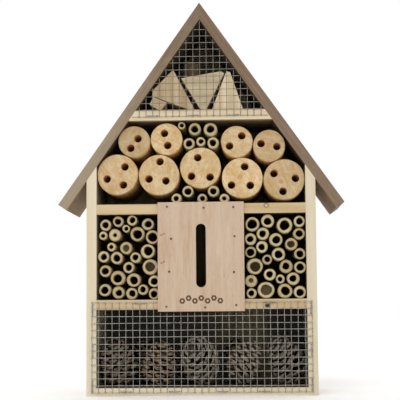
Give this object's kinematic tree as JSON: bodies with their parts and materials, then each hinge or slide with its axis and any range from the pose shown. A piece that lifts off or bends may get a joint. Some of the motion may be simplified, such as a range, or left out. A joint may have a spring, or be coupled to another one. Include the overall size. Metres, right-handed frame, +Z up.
{
  "type": "insect hotel",
  "caption": "Gabled wooden insect hotel with a slotted butterfly room, drilled logs, bamboo canes, and pine cones and offcuts behind wire mesh.",
  "frame": {"origin": "middle of the underside that the house stands on, halfway between the front and back faces of the boards", "axes": "front faces -Y, +Z up, X along the width"},
  "size_m": [0.29, 0.1026, 0.4001],
  "materials": {
    "pine_board": "planed softwood, unfinished, matt",
    "stained_roof": "planed softwood with a grey-brown stain",
    "plate_plywood": "thin sanded plywood, upright grain",
    "back_plywood": "thin plywood, unfinished",
    "log_wood": "sawn end grain with peeled sides",
    "bamboo_cane": "sawn bamboo cane, smooth skin",
    "pine_cone": "dry open cone scales",
    "offcut_wood": "sawn softwood offcuts",
    "galvanised_wire": "galvanised wire, dull",
    "bright_steel": "bright steel nails and staples",
    "hanger_steel": "zinc plated steel"
  },
  "bodies": {
    "root": {"attic_mesh": "galvanised_wire", "attic_shelf": "pine_board", "attic_staples": "bright_steel", "back_panel": "back_plywood", "base_board": "pine_board", "bottom_canes": "bamboo_cane", "divider_left": "pine_board", "divider_right": "pine_board", "frame_nails": "bright_steel", "front_plate": "plate_plywood", "hanger_plate": "hanger_steel", "hanger_screws": "bright_steel", "large_log_1": "log_wood", "large_log_2": "log_wood", "large_log_3": "log_wood", "large_log_4": "log_wood", "large_log_5": "log_wood", "left_canes_row_1": "bamboo_cane", "left_canes_row_2": "bamboo_cane", "left_canes_row_3": "bamboo_cane", "left_canes_row_4": "bamboo_cane", "left_canes_row_5": "bamboo_cane", "left_canes_row_6": "bamboo_cane", "left_wall": "pine_board", "lower_mesh": "galvanised_wire", "lower_shelf": "pine_board", "lower_staples": "bright_steel", "middle_shelf": "pine_board", "offcut_slab_middle": "offcut_wood", "offcut_small_block": "offcut_wood", "offcut_strip_rear": "offcut_wood", "offcut_tall_rear": "offcut_wood", "offcut_triangle_left": "offcut_wood", "offcut_triangle_right": "offcut_wood", "pine_cone_1": "pine_cone", "pine_cone_2": "pine_cone", "pine_cone_3": "pine_cone", "pine_cone_4": "pine_cone", "pine_cone_5": "pine_cone", "pine_cone_6": "pine_cone", "pine_cone_7": "pine_cone", "pine_cone_8": "pine_cone", "plate_nails": "bright_steel", "rear_nails": "bright_steel", "right_canes_row_1": "bamboo_cane", "right_canes_row_2": "bamboo_cane", "right_canes_row_3": "bamboo_cane", "right_canes_row_4": "bamboo_cane", "right_canes_row_5": "bamboo_cane", "right_canes_row_6": "bamboo_cane", "right_wall": "pine_board", "roof_left": "stained_roof", "roof_nails": "bright_steel", "roof_right": "stained_roof", "small_log_1": "log_wood", "small_log_2": "log_wood", "small_log_3": "log_wood", "small_log_4": "log_wood", "top_canes": "bamboo_cane"}
  },
  "joints": []
}
